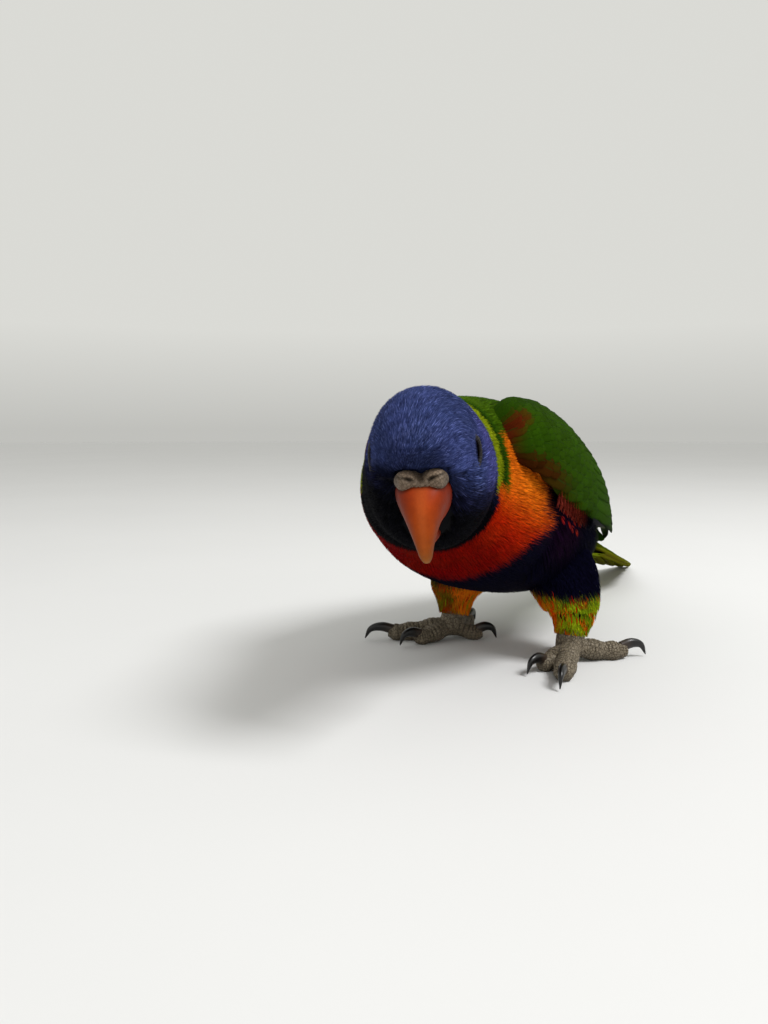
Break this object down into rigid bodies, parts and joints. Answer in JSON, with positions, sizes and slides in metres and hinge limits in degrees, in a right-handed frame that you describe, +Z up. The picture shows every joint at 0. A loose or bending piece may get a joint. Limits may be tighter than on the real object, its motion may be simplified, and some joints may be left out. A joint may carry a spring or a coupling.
{
  "type": "rainbow lorikeet",
  "caption": "Life-size still rainbow lorikeet that leans forward on both feet, its head turned to its left, its folded wings and long tail feathered in tiers.",
  "frame": {"origin": "on the floor, under the middle of the bird's outer box", "axes": "+Z up, +Y from the bird's breast towards its tail, +X to the bird's left"},
  "size_m": [0.0806, 0.2536, 0.0756],
  "materials": {
    "head_blue": "feathers, soft violet blue",
    "cere_grey": "bare leathery skin",
    "bill_orange": "smooth horn, orange red to yellow at the tip",
    "eye_red": "wet and clear",
    "breast_red": "feathers, orange red",
    "tail_olive": "feathers, olive green and yellow",
    "wing_green": "feathers, grass green",
    "thigh_blue": "feathers, blue black",
    "toe_grey": "scaly skin",
    "claw_black": "smooth dark horn"
  },
  "bodies": {
    "root": {"head": "head_blue", "cere": "cere_grey", "bill_upper": "bill_orange", "bill_lower": "bill_orange", "eye_left": "eye_red", "eye_right": "eye_red", "neck": "head_blue", "torso": "breast_red", "tail": "tail_olive", "wing_left": "wing_green", "wing_right": "wing_green", "thigh_left": "thigh_blue", "thigh_right": "thigh_blue", "foot_left": "toe_grey", "foot_right": "toe_grey", "claw_left_outer_front": "claw_black", "claw_left_inner_front": "claw_black", "claw_left_outer_hind": "claw_black", "claw_left_inner_hind": "claw_black", "claw_right_outer_front": "claw_black", "claw_right_inner_front": "claw_black", "claw_right_outer_hind": "claw_black", "claw_right_inner_hind": "claw_black"}
  },
  "joints": []
}
